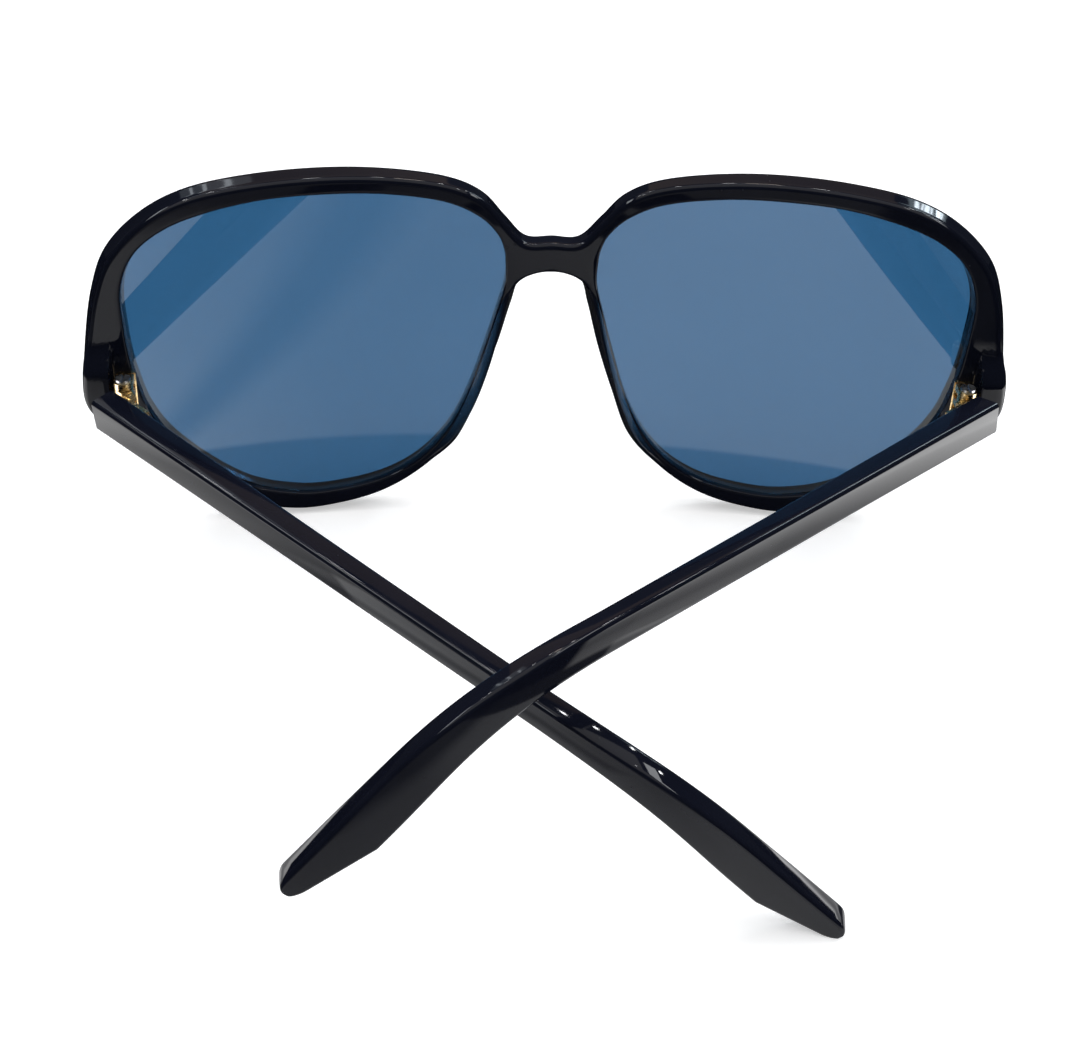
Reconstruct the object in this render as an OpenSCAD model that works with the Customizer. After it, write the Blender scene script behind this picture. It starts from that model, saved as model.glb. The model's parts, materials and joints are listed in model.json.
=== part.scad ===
// Square sunglasses with two folding temples, lying on a table with the temples crossed.
// Each half of the front is a ring of sections round a lens opening; the halves meet at the bridge.

/* [Front] */
// Width over the end pieces
front_w = 147.6; // [135:0.2:165]
// Height of the front
front_h = 61.3; // [54:0.1:70]
// Thickness of the rims
rim_t = 4.2; // [3.6:0.1:5.5]
// Radius of the front's wrap round the face
wrap_r = 343; // [280:1:600]
// Lean of the front's top away from the wearer, in degrees
lean = 5.2; // [2:0.1:9]
// Rounding of the rims' outer edges
edge_r = 1.1; // [0.5:0.05:1.3]
// Rounding of the lens openings' edges
lip_r = 0.35; // [0.1:0.05:0.6]
// Depth of the flat that each resting edge has
rest_flat = 0.25; // [0.1:0.05:0.5]

/* [Lenses] */
// Width of the rims at their outer sides
side_w = 7.1; // [6:0.1:9]
// Width of the rims along the top
top_w = 3.2; // [2.8:0.1:6]
// Distance between the two lens openings
lens_gap = 14.4; // [12:0.1:20]
// Height of the lens openings over the lowest edge
lens_low = 4.3; // [3.6:0.1:6]
// Thickness of a lens
lens_t = 1.9; // [1.4:0.05:2.2]
// Depth of a lens's back below the rim's back
lens_sink = 1.1; // [0.8:0.05:1.5]
// Depth of the groove that holds a lens
groove_d = 0.9; // [0.5:0.05:1.2]
// Gap between a lens and its groove
lens_fit = 0.06; // [0.03:0.01:0.15]

/* [Nose pads] */
// Height of a nose pad over the rim's back
pad_h = 5.2; // [3:0.1:7]
// Gap between bonded pieces
bond_fit = 0.02; // [0.01:0.01:0.05]

/* [Hinges] */
// Distance of each hinge pin in from the front's side
pin_in = 6.8; // [6:0.1:8]
// Height of the hinges' middle over the lowest edge
hinge_z = 26.9; // [24:0.1:31]
// Height of the hinge pins over the rims' back
pin_lift = 3.16; // [2.6:0.02:4]
// Outer radius of the hinge barrel
barrel_r = 1.5; // [1.2:0.05:1.6]
// Height of one knuckle
knuckle_h = 1.1; // [0.8:0.05:1.3]
// Gap between knuckles
knuckle_gap = 0.06; // [0.03:0.01:0.12]
// Radius of the hinge screw's shank
screw_r = 0.6; // [0.4:0.05:0.8]
// Running clearance round the screw
pin_fit = 0.05; // [0.02:0.01:0.1]
// Thickness of the hinge plates
plate_t = 0.8; // [0.5:0.05:1]
// Length of the temple leaf's plate
plate_l = 6; // [5:0.1:9]
// Radius of the pegs that are sunk in the plastic
peg_r = 0.5; // [0.3:0.05:0.6]
// Length of the pegs
peg_l = 1.5; // [1:0.1:2]

/* [Temples] */
// Length of a temple along its middle line
temple_l = 148; // [140:1:155]
// Length of the straight stretch
straight_l = 92; // [85:1:100]
// Length of the ear bend
bend_l = 38; // [25:1:45]
// Drop of the ear bend in degrees
bend_drop = 45; // [30:1:50]
// Inward turn of the ear bend in degrees
bend_in = 34; // [15:1:40]
// Thickness at the hinge
root_t = 4.5; // [3.8:0.1:5]
// Thickness at the ear bend
middle_t = 3.3; // [2.8:0.1:3.8]
// Thickness at the tip
tip_t = 3.8; // [2.4:0.1:4.4]
// Height at the hinge
root_h = 5.4; // [4.6:0.1:6]
// Height of the straight stretch
middle_h = 5; // [4:0.1:5.6]
// Height at the heel of the tip's bevel
heel_h = 6.6; // [6:0.1:9]
// Height of the tip's end
tip_h = 3.2; // [2:0.1:5]
// Length of the tip's bevel
bevel_l = 12; // [8:0.5:16]
// Rounding of the temples' long edges
temple_edge = 0.7; // [0.3:0.05:1]
// Distance from the hinge pin to the temple's inner face
pin_to_face = 1.9; // [1.7:0.05:2.4]
// Gap between a temple's butt end and the end piece
butt_gap = 0.2; // [0.1:0.05:0.4]
// Radius of the stiffening wire
core_r = 0.7; // [0.4:0.05:0.9]
// Gap round the stiffening wire
core_fit = 0.06; // [0.03:0.01:0.1]

/* [Pose] */
// Fold of the left temple as it lies, in degrees
fold_left = 46.2; // [42:0.1:49]
// Fold of the right temple as it lies, in degrees
fold_right = 46.9; // [42:0.1:49]
// Upward set of the right temple, in degrees
set_right = 2.3; // [1.5:0.1:4]
// Outward twist of the left temple about its length, in degrees
twist_left = 6; // [4:0.5:8]
// Inward twist of the right temple about its length, in degrees
twist_right = 5.3; // [4:0.1:7]

/* [Hidden] */
$fn = 48;
black = "#151519";
gold = "#c8a45c";
steel = "#a9adb0";
tint = "#4f6e91";

// Outer outline of a half, as shares of half the width and of the height, from the bridge round
outer_shares = [[0, 0.81], [0.057, 0.811], [0.103, 0.868], [0.15, 0.93], [0.222, 0.97],
    [0.34, 0.993], [0.474, 1], [0.623, 0.989], [0.758, 0.96], [0.856, 0.904], [0.932, 0.814],
    [0.97, 0.698], [0.993, 0.555], [1, 0.465], [0.993, 0.395], [0.959, 0.326], [0.894, 0.217],
    [0.799, 0.112], [0.691, 0.033], [0.569, 0], [0.461, 0.013], [0.359, 0.052],
    [0.268, 0.124], [0.194, 0.222], [0.149, 0.36], [0.111, 0.498], [0.084, 0.62],
    [0.062, 0.695], [0, 0.723]];
// Lens opening, as shares of its width and height, each point facing one of the outer outline
lens_shares = [[0.002, 0.779], [0.007, 0.823], [0.027, 0.874], [0.077, 0.928], [0.165, 0.972],
    [0.308, 0.996], [0.459, 1], [0.635, 0.987], [0.795, 0.948], [0.896, 0.9], [0.965, 0.831],
    [1, 0.729], [1, 0.599], [0.992, 0.496], [0.978, 0.414], [0.958, 0.336], [0.911, 0.24],
    [0.82, 0.132], [0.703, 0.039], [0.568, 0], [0.45, 0.007], [0.333, 0.041],
    [0.235, 0.106], [0.158, 0.204], [0.101, 0.333], [0.057, 0.487], [0.024, 0.617],
    [0.007, 0.686], [0.001, 0.73]];
steps = 3;
last = len(outer_shares) - 1;
round_share = 0.293;

half_w = front_w / 2;
lens_w = half_w - lens_gap / 2 - side_w;
lens_h = front_h - lens_low - top_w;
pin_x = half_w - pin_in;
outer_pts = [for (s = outer_shares) [s[0] * half_w, s[1] * front_h]];
lens_pts = [for (s = lens_shares) [lens_gap / 2 + s[0] * lens_w, lens_low + s[1] * lens_h]];

// A smooth curve's point between b and c, at share t
function curve(a, b, c, d, t) = b + ((c - a) * t + (2 * a - 5 * b + 4 * c - d) * t * t
    + (3 * b - a - 3 * c + d) * t * t * t) / 2;
function flip(p) = [-p[0], p[1]];
function outer_ctrl(i) = i < 0 ? flip(outer_pts[1]) : i > last ? flip(outer_pts[last - 1])
    : outer_pts[i];
function lens_ctrl(i) = lens_pts[(i + last + 1) % (last + 1)];
function outer_at(i, t) = curve(outer_ctrl(i - 1), outer_ctrl(i), outer_ctrl(i + 1),
    outer_ctrl(i + 2), t);
function lens_at(i, t) = curve(lens_ctrl(i - 1), lens_ctrl(i), lens_ctrl(i + 1),
    lens_ctrl(i + 2), t);

// Places up the bridge's middle, where the two halves are one
bridge_top = outer_pts[0][1];
bridge_low = outer_pts[last][1];
bridge_zs = [bridge_low + edge_r, (bridge_low + bridge_top) / 2, bridge_top - edge_r];
ring_outer = concat([for (i = [0:last - 1], k = [0:steps - 1]) outer_at(i, k / steps)],
    [outer_pts[last]], [for (z = bridge_zs) [0, z]]);
ring_lens = concat([for (i = [0:last - 1], k = [0:steps - 1]) lens_at(i, k / steps)],
    [lens_pts[last]], [for (k = [1:3]) lens_at(last, k / 4)]);
ring_n = len(ring_outer);
seam_from = last * steps;

function sag(x) = x * x / (2 * wrap_r);
pin_back = sag(pin_x) + pin_lift;
function ease(t) = let (k = max(0, min(1, t))) k * k * (3 - 2 * k);
// Height of the end piece's step over the rim's back
step_half = root_h / 2 + edge_r / 2;
step_run = 2 * edge_r;
function rise(p) = p[0] < step_foot ? 0 : (pin_back - sag(p[0]))
    * ease((step_half + step_run - abs(p[1] - hinge_z)) / step_run);
function along(i, r) = let (a = ring_lens[i], b = ring_outer[i]) a + (b - a) * r / norm(b - a);
// A point of the front: r from the lens opening, q over the rim's back
function at(i, r, q) = let (p = along(i, r)) [p[0], -sag(p[0]) - q, p[1]];
function stepped(i, r, q) = at(i, r, q + rise(along(i, r)));
step_foot = pin_x + pin_to_face;
step_wall = 0.3;
plain_share = 0.4;
function foot(i, x) = let (a = ring_lens[i][0], b = ring_outer[i][0], w = norm(ring_outer[i]
    - ring_lens[i])) b > step_foot + edge_r && a < step_foot - edge_r ? w * (x - a) / (b - a)
    : w * plain_share + x - step_foot;
in_back = lens_sink - lens_fit;
in_front = lens_sink + lens_t + lens_fit;
function in_seam(i) = i > seam_from;
function section(i) = let (w = norm(ring_outer[i] - ring_lens[i]), s = in_seam(i),
    c = s ? edge_r / 2 : edge_r * round_share, d = s ? 0 : edge_r * round_share,
    e = s ? 0 : edge_r) [
    at(i, lip_r, -rim_t), at(i, w - edge_r, -rim_t), at(i, w - c, d - rim_t),
    at(i, w, e - rim_t), stepped(i, w, -e), stepped(i, w - c, -d), stepped(i, w - edge_r, 0),
    stepped(i, foot(i, step_foot + step_wall), 0), at(i, foot(i, step_foot), 0),
    at(i, lip_r, 0), at(i, 0, -lip_r), at(i, 0, -in_back), at(i, groove_d, -in_back),
    at(i, groove_d, -in_front), at(i, 0, -in_front), at(i, 0, lip_r - rim_t)];
sect_n = 16;
seam_a = 3;
seam_b = 4;

half_front = [for (i = [0:ring_n - 1]) each section(i)];
front_points = concat(half_front, [for (p = half_front) [-p[0], p[1], p[2]]]);
function at_seam(i, j) = (i == 0 || i >= seam_from) && (j == seam_a || j == seam_b);
function right_id(i, j) = (i % ring_n) * sect_n + j % sect_n;
function left_id(i, j) = right_id(i, j) + (at_seam(i % ring_n, j) ? 0 : ring_n * sect_n);
function open_strip(i, j) = j == seam_a && i >= seam_from;
front_faces = concat(
    [for (i = [0:ring_n - 1], j = [0:sect_n - 1]) if (!open_strip(i, j)) each
        [[right_id(i, j), right_id(i + 1, j + 1), right_id(i, j + 1)],
        [right_id(i, j), right_id(i + 1, j), right_id(i + 1, j + 1)]]],
    [for (i = [0:ring_n - 1], j = [0:sect_n - 1]) if (!open_strip(i, j)) each
        [[left_id(i, j), left_id(i, j + 1), left_id(i + 1, j + 1)],
        [left_id(i, j), left_id(i + 1, j + 1), left_id(i + 1, j)]]]);

// Middle line of a temple in its own frame: x outward, y towards the front, z up
leg_steps = 56;
function turn(t) = ease((t - straight_l) / bend_l);
function heading(t) = let (b = bend_drop * turn(t), g = bend_in * turn(t))
    [-cos(b) * sin(g), -cos(b) * cos(g), -sin(b)];
function outward(t) = let (g = bend_in * turn(t)) [cos(g), -sin(g), 0];
function upward(t) = let (b = bend_drop * turn(t), g = bend_in * turn(t))
    [-sin(b) * sin(g), -sin(b) * cos(g), cos(b)];
heel_at = temple_l - bevel_l;
cap_l = tip_t / 2;
cap_end = temple_l - cap_l;
root_share = 0.35;
// Stations: the straight stretch is coarse, and the bend, the heel and the end are fine
stations = concat([for (k = [0:7]) straight_l * k / 8],
    [for (k = [0:17]) straight_l + (heel_at - straight_l) * k / 18],
    [for (k = [0:5]) heel_at + (cap_end - heel_at) * k / 6],
    [for (k = [0:4]) cap_end + cap_l * sin(90 * k / 4)]);
function walk(i, p) = i >= len(stations) - 1 ? [p] : let (a = stations[i], b = stations[i + 1],
    q = p + (heading(a) + 4 * heading((a + b) / 2) + heading(b)) * (b - a) / 6)
    concat([p], walk(i + 1, q));
// The line starts ahead of the butt end, which is then cut square to the front
root_spare = root_h / 4;
leg_line = walk(0, [pin_to_face + root_t, root_spare, 0]);
end_share = 0.3;
function cap(t) = t <= cap_end ? 1
    : end_share + (1 - end_share) * sqrt(max(0, 1 - pow((t - cap_end) / cap_l, 2)));
function thick(t) = cap(t) * lookup(t, [[0, root_t], [straight_l, middle_t],
    [heel_at, tip_t], [temple_l, tip_t]]);
function tall(t) = t < heel_at
    ? root_h + (middle_h - root_h) * ease(t / (root_share * temple_l))
    + (heel_h - middle_h) * ease((t - straight_l) / (heel_at - straight_l))
    : heel_h + (tip_h - heel_h) * (t - heel_at) / (temple_l - heel_at);
function over(t) = tall(min(t, straight_l)) / 2;
// Cross section of a temple: the upper edge follows the middle line, the lower one the height
function leg_section(k) = let (t = stations[k], w = thick(t), m = tall(t),
    mid = over(t) - m / 2, hi = mid + cap(t) * m / 2, lo = mid - cap(t) * m / 2,
    e = temple_edge * cap(t), f = e * round_share,
    flat = [[0, hi - e], [-f, hi - f], [-e, hi], [e - w, hi], [f - w, hi - f], [-w, hi - e],
    [-w, lo + e], [f - w, lo + f], [e - w, lo], [-e, lo], [-f, lo + f], [0, lo + e]])
    [for (s = flat) leg_line[k] + s[0] * outward(t) + s[1] * upward(t)];
leg_n = 12;
leg_points = [for (k = [0:len(stations) - 1]) each leg_section(k)];
function leg_id(k, j) = k * leg_n + j % leg_n;
leg_last = len(stations) - 1;
leg_faces = concat(
    [for (k = [0:leg_last - 1], j = [0:leg_n - 1]) each
        [[leg_id(k, j), leg_id(k + 1, j + 1), leg_id(k, j + 1)],
        [leg_id(k, j), leg_id(k + 1, j), leg_id(k + 1, j + 1)]]],
    [[for (j = [0:leg_n - 1]) leg_id(0, j)]],
    [[for (j = [leg_n - 1:-1:0]) leg_id(leg_last, j)]]);

// Turns about the axes of the front's own frame
function turn_x(p, a) = [p[0], p[1] * cos(a) - p[2] * sin(a), p[1] * sin(a) + p[2] * cos(a)];
function turn_y(p, a) = [p[0] * cos(a) + p[2] * sin(a), p[1], p[2] * cos(a) - p[0] * sin(a)];
function turn_z(p, a) = [p[0] * cos(a) - p[1] * sin(a), p[0] * sin(a) + p[1] * cos(a), p[2]];
function on_hinge(p, set, fold, twist) = turn_z(turn_x(turn_y(p, twist), -set), -fold)
    + [pin_x, -pin_back, hinge_z];
function stood(p) = turn_x(p, -lean);
front_low = min([for (p = half_front) stood(p)[2]]) + rest_flat;
function left_low(set) = min([for (p = leg_points) stood(on_hinge(p, set, fold_left, twist_left))[2]]);
// The left temple's set that brings its tip down to the table, halving the range each time
function settle(a, b, n) = let (m = (a + b) / 2) n == 0 ? m
    : left_low(m) + rest_flat > front_low ? settle(a, m, n - 1) : settle(m, b, n - 1);
set_left = settle(-12, 12, 24);
far_y = max([for (p = half_front) stood(p)[1]]);
near_y = min([for (p = leg_points) min(stood(on_hinge(p, set_left, fold_left, twist_left))[1],
    stood(on_hinge(p, set_right, fold_right, -twist_right))[1])]);
mid_y = (far_y + near_y) / 2;

module standing() {
    translate([0, -mid_y, -front_low]) rotate([-lean, 0, 0]) children();
}

module side(left) {
    standing() mirror([left ? 1 : 0, 0, 0]) children();
}

module fixed_half(left) {
    side(left) translate([pin_x, -pin_back, hinge_z]) children();
}

module moving_half(left) {
    fixed_half(left) rotate([0, 0, left ? -fold_left : -fold_right]) children();
}

module tilted(left) {
    rotate([left ? -set_left : -set_right, 0, 0])
        rotate([0, left ? twist_left : -twist_right, 0]) children();
}

// All that is below the table, for the resting flats
module below_table() {
    translate([-front_w, -2 * temple_l, -front_h]) cube([2 * front_w, 4 * temple_l, front_h]);
}

barrel_h = 5 * knuckle_h + 4 * knuckle_gap;
function knuckle_z(k) = k * (knuckle_h + knuckle_gap) - barrel_h / 2;
bore_r = screw_r + pin_fit;
cut = 0.1;
// The front leaf's plate lies on the rim's back, which slopes with the wrap
seat_x = pin_x;
seat_y = pin_back - sag(seat_x);
seat_turn = -atan(seat_x / wrap_r);
front_plate_w = 2 * barrel_r - 2 * cut;
peg_z = barrel_h / 2 - 2 * peg_r - cut;
peg_y1 = 2 * barrel_r + plate_t;
peg_y2 = peg_y1 + plate_l / 2;

module front_seat() {
    translate([0, seat_y, 0]) rotate([0, 0, seat_turn]) children();
}

module front_pegs(grow) {
    for (s = [-1, 1]) front_seat() translate([0, 0, s * peg_z]) rotate([-90, 0, 0])
        translate([0, 0, -plate_t / 2]) cylinder(h = plate_t / 2 + peg_l + grow, r = peg_r + grow);
}

module temple_pegs(grow) {
    for (y = [peg_y1, peg_y2]) translate([pin_to_face - plate_t / 2, -y, 0]) rotate([0, 90, 0])
        cylinder(h = plate_t / 2 + peg_l + grow, r = peg_r + grow);
}

module front_frame() {
    color(black) difference() {
        standing() polyhedron(points = front_points, faces = front_faces, convexity = 8);
        fixed_half(true) front_pegs(pin_fit);
        fixed_half(false) front_pegs(pin_fit);
        below_table();
    }
}

// A lens is a set of shrinking rings on each face, over the same wrap as the front
lens_rings = [1, 0.85, 0.6, 0.3];
lens_mid = [lens_gap / 2 + lens_w / 2, lens_low + lens_h / 2];
function lens_edge(i) = along(i, groove_d - lens_fit);
function lens_point(i, s, q) = let (p = lens_mid + (lens_edge(i) - lens_mid) * s)
    [p[0], -sag(p[0]) - q, p[1]];
lens_back_q = -lens_sink;
lens_front_q = -lens_sink - lens_t;
ring_m = len(lens_rings);
lens_points = concat(
    [for (q = [lens_back_q, lens_front_q], s = lens_rings, i = [0:ring_n - 1])
        lens_point(i, s, q)],
    [for (q = [lens_back_q, lens_front_q]) [lens_mid[0], -sag(lens_mid[0]) - q, lens_mid[1]]]);
function lens_id(f, k, i) = (f * ring_m + k) * ring_n + i % ring_n;
lens_last = 2 * ring_m * ring_n;
lens_faces = concat(
    [for (k = [0:ring_m - 2], i = [0:ring_n - 1]) each
        [[lens_id(0, k, i), lens_id(0, k, i + 1), lens_id(0, k + 1, i + 1)],
        [lens_id(0, k, i), lens_id(0, k + 1, i + 1), lens_id(0, k + 1, i)],
        [lens_id(1, k, i), lens_id(1, k + 1, i + 1), lens_id(1, k, i + 1)],
        [lens_id(1, k, i), lens_id(1, k + 1, i), lens_id(1, k + 1, i + 1)]]],
    [for (i = [0:ring_n - 1]) each
        [[lens_id(0, ring_m - 1, i), lens_id(0, ring_m - 1, i + 1), lens_last],
        [lens_id(1, ring_m - 1, i), lens_last + 1, lens_id(1, ring_m - 1, i + 1)],
        [lens_id(0, 0, i), lens_id(1, 0, i + 1), lens_id(0, 0, i + 1)],
        [lens_id(0, 0, i), lens_id(1, 0, i), lens_id(1, 0, i + 1)]]]);

module lens(left) {
    color(tint) side(left) polyhedron(points = lens_points, faces = lens_faces, convexity = 4);
}

// A nose pad stands on the rim's back beside the nose, over some of the ring's sections
pad_first = 22;
pad_end = 27;
pad_from = pad_first * steps;
pad_to = pad_end * steps;
pad_n = pad_to - pad_from;
// Section of a pad, as shares of the rim's width and of the pad's height
pad_shares = [[0.12, 0], [0.2, 0.35], [0.36, 0.75], [0.6, 1], [0.8, 0.96], [0.94, 0.7],
    [1, 0.35], [0.92, 0]];
pad_least_share = 0.12;
function pad_high(i) = pad_h * (pad_least_share + (1 - pad_least_share)
    * pow(sin(180 * (i - pad_from) / pad_n), 1.2));
function pad_base(w, x) = min(x * w, w - edge_r);
pad_points = [for (i = [pad_from:pad_to]) let (w = norm(ring_outer[i] - ring_lens[i])) each
    [for (s = pad_shares) at(i, pad_base(w, s[0]), bond_fit + s[1] * pad_high(i))]];
pad_k = len(pad_shares);
function pad_id(i, j) = i * pad_k + j % pad_k;
pad_faces = concat(
    [for (i = [0:pad_n - 1], j = [0:pad_k - 1]) each
        [[pad_id(i, j), pad_id(i, j + 1), pad_id(i + 1, j + 1)],
        [pad_id(i, j), pad_id(i + 1, j + 1), pad_id(i + 1, j)]]],
    [for (j = [1:pad_k - 2]) each [[pad_id(0, 0), pad_id(0, j + 1), pad_id(0, j)],
        [pad_id(pad_n, 0), pad_id(pad_n, j), pad_id(pad_n, j + 1)]]]);

module nose_pad(left) {
    color(black) side(left) polyhedron(points = pad_points, faces = pad_faces, convexity = 4);
}

module knuckle(k) {
    translate([0, 0, knuckle_z(k)]) cylinder(h = knuckle_h, r = barrel_r);
}

module screw_bore() {
    translate([0, 0, -barrel_h]) cylinder(h = 2 * barrel_h, r = bore_r);
}

module front_hinge_leaf(left) {
    color(gold) fixed_half(left) difference() {
        union() {
            for (k = [0, 2, 4]) {
                knuckle(k);
                translate([-front_plate_w / 2, 0, knuckle_z(k)])
                    cube([front_plate_w, seat_y - plate_t, knuckle_h]);
            }
            front_seat() translate([-front_plate_w / 2, -plate_t - bond_fit, -barrel_h / 2])
                cube([front_plate_w, plate_t, barrel_h]);
            front_pegs(0);
        }
        screw_bore();
    }
}

module temple_hinge_leaf(left) {
    plate_x = pin_to_face - bond_fit - plate_t;
    color(gold) moving_half(left) difference() {
        union() {
            for (k = [1, 3]) {
                knuckle(k);
                translate([0, -2 * barrel_r, knuckle_z(k)])
                    cube([plate_x + plate_t / 2, 2 * barrel_r, knuckle_h]);
            }
            tilted(left) translate([plate_x, -barrel_r - cut - plate_l, -root_h / 3])
                cube([plate_t, plate_l, 2 * root_h / 3]);
            tilted(left) temple_pegs(0);
        }
        screw_bore();
    }
}

screw_head_r = barrel_r - 3 * cut;
screw_head_h = knuckle_h / 2;
slot_w = screw_head_r / 3;

module hinge_screw(left) {
    color(steel) fixed_half(left) difference() {
        union() {
            translate([0, 0, -barrel_h / 2]) cylinder(h = barrel_h + screw_head_h / 2, r = screw_r);
            translate([0, 0, barrel_h / 2]) cylinder(h = screw_head_h, r = screw_head_r);
        }
        translate([-slot_w / 2, -barrel_r, barrel_h / 2 + screw_head_h / 2])
            cube([slot_w, 2 * barrel_r, screw_head_h]);
    }
}

core_from = peg_y2 + 2 * peg_r + 2 * cut;
core_l = straight_l - core_from;
core_x = pin_to_face + root_t - middle_t / 2;

module core(grow) {
    translate([core_x, -core_from + grow, 0]) rotate([90, 0, 0])
        cylinder(h = core_l + 2 * grow, r = core_r + grow);
}

module temple(left) {
    color(black) difference() {
        moving_half(left) difference() {
            tilted(left) polyhedron(points = leg_points, faces = leg_faces, convexity = 6);
            tilted(left) temple_pegs(pin_fit);
            tilted(left) core(core_fit);
            translate([-root_t, -butt_gap, -root_h]) cube([4 * root_t, root_h, 2 * root_h]);
        }
        if (left) below_table();
    }
}

module temple_core(left) {
    color(steel) moving_half(left) tilted(left) core(0);
}

front_frame();
lens(true);  // lens_left
lens(false);  // lens_right
nose_pad(true);  // nose_pad_left
nose_pad(false);  // nose_pad_right
front_hinge_leaf(true);  // front_hinge_leaf_left
front_hinge_leaf(false);  // front_hinge_leaf_right
temple_hinge_leaf(true);  // temple_hinge_leaf_left
temple_hinge_leaf(false);  // temple_hinge_leaf_right
hinge_screw(true);  // hinge_screw_left
hinge_screw(false);  // hinge_screw_right
temple(true);  // temple_left
temple(false);  // temple_right
temple_core(true);  // temple_core_left
temple_core(false);  // temple_core_right
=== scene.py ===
# Square sunglasses on a white table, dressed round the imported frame
import json
import math

import bmesh
import bpy
import numpy as np
from mathutils import Matrix, Vector


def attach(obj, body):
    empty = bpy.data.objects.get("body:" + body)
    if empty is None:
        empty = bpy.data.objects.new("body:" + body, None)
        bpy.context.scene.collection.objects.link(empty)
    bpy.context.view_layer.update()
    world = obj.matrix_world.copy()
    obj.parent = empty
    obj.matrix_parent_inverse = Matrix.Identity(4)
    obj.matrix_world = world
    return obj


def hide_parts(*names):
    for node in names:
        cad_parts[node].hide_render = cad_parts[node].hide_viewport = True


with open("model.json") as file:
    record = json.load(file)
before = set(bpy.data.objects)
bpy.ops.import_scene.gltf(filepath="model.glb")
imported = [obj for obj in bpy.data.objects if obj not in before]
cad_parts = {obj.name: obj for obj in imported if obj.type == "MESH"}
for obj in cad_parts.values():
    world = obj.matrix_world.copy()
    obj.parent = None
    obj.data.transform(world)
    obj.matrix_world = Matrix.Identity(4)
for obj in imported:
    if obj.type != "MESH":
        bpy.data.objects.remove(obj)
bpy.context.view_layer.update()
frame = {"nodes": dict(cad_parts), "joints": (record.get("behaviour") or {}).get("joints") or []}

MM = 0.001
X, Y, Z = 0, 1, 2

# Sizes of the part's source, in millimetres and degrees: the front and its lenses
FRONT_W = 147.6
FRONT_H = 61.3
RIM_T = 4.2
WRAP_R = 343.0
LEAN = 5.2
EDGE_R = 1.1
REST_FLAT = 0.25
LENS_W = 59.5
LENS_H = 53.8
LENS_GAP = 14.4
LENS_LOW = 4.3
LENS_T = 1.9
LENS_SINK = 1.1
GROOVE_D = 0.9
LENS_FIT = 0.06
PAD_H = 5.2

# The hinges
PIN_X = 67.0
PIN_LIFT = 3.16
PIN_BACK = PIN_X ** 2 / (2 * WRAP_R) + PIN_LIFT
PIN_TO_FACE = 1.9
HINGE_Z = 26.9
FOLD_LEFT = 46.2
FOLD_RIGHT = 46.9
SET_RIGHT = 2.3
TWIST_LEFT = 6.0
TWIST_RIGHT = 5.3

# The temples
TEMPLE_L = 148.0
STRAIGHT_L = 92.0
BEND_L = 38.0
BEND_DROP = 45.0
BEND_IN = 34.0
BEVEL_L = 12.0
ROOT_T = 4.5
MIDDLE_T = 3.3
TIP_T = 3.8
ROOT_H = 5.4
MIDDLE_H = 5.0
HEEL_H = 6.6
TIP_H = 3.2
TEMPLE_EDGE = 0.7
BUTT_GAP = 0.2
ROOT_SHARE = 0.35
END_SHARE = 0.3
ROOT_SPARE = ROOT_H / 4
HEEL_AT = TEMPLE_L - BEVEL_L
CAP_L = TIP_T / 2
CAP_END = TEMPLE_L - CAP_L

# Outlines of the half front and of a lens, as shares of its width and height
OUTER_SHARES = [(0, 0.81), (0.057, 0.811), (0.103, 0.868), (0.15, 0.93), (0.222, 0.97),
                (0.34, 0.993), (0.474, 1), (0.623, 0.989), (0.758, 0.96), (0.856, 0.904),
                (0.932, 0.814), (0.97, 0.698), (0.993, 0.555), (1, 0.465), (0.993, 0.395),
                (0.959, 0.326), (0.894, 0.217), (0.799, 0.112), (0.691, 0.033), (0.569, 0),
                (0.461, 0.013), (0.359, 0.052), (0.268, 0.124), (0.194, 0.222), (0.149, 0.36),
                (0.111, 0.498), (0.084, 0.62), (0.062, 0.695), (0, 0.723)]
LENS_SHARES = [(0.002, 0.779), (0.007, 0.823), (0.027, 0.874), (0.077, 0.928), (0.165, 0.972),
               (0.308, 0.996), (0.459, 1), (0.635, 0.987), (0.795, 0.948), (0.896, 0.9),
               (0.965, 0.831), (1, 0.729), (1, 0.599), (0.992, 0.496), (0.978, 0.414),
               (0.958, 0.336), (0.911, 0.24), (0.82, 0.132), (0.703, 0.039), (0.568, 0),
               (0.45, 0.007), (0.333, 0.041), (0.235, 0.106), (0.158, 0.204), (0.101, 0.333),
               (0.057, 0.487), (0.024, 0.617), (0.007, 0.686), (0.001, 0.73)]
LAST = len(OUTER_SHARES) - 1
outer_points = np.array([(x * FRONT_W / 2, y * FRONT_H) for x, y in OUTER_SHARES])
lens_points = np.array([(LENS_GAP / 2 + x * LENS_W, LENS_LOW + y * LENS_H) for x, y in LENS_SHARES])

# How finely the front is drawn: steps between outline points and up the bridge's middle,
# and points round each edge and across each face
STEPS = 9
SEAM_STEPS = 8
SEAM_FROM = LAST * STEPS
ROUND_N = 9
FRONT_LIP_N = 4
BACK_LIP_N = 6
FRONT_FACE_N = 4
BACK_FACE_COUNTS = (5, 6, 4)

# Edge rounds of the front, in millimetres, and places on its walls
LIP_R = 0.35
OUTER_FRONT_R = 1.1
OUTER_BACK_R = 0.9
WALL_SHARES = (0.15, 0.85)
OPENING_SHARES = (0.35, 0.7)

# The end piece's step out to the hinge's plane: its foot, the width of its face, its height's half and
# its run along the rim, which is longer above the hinge
STEP_FOOT = PIN_X + PIN_TO_FACE
STEP_FACE = 0.35
STEP_REACH = 0.2
STEP_HALF = ROOT_H / 2 + EDGE_R / 2
STEP_RUN = 2 * EDGE_R
UPPER_RUN_SHARE = 2.2

# Two places across a back face that the step doesn't cross
PLAIN_SHARES = (0.42, 0.5)

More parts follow.
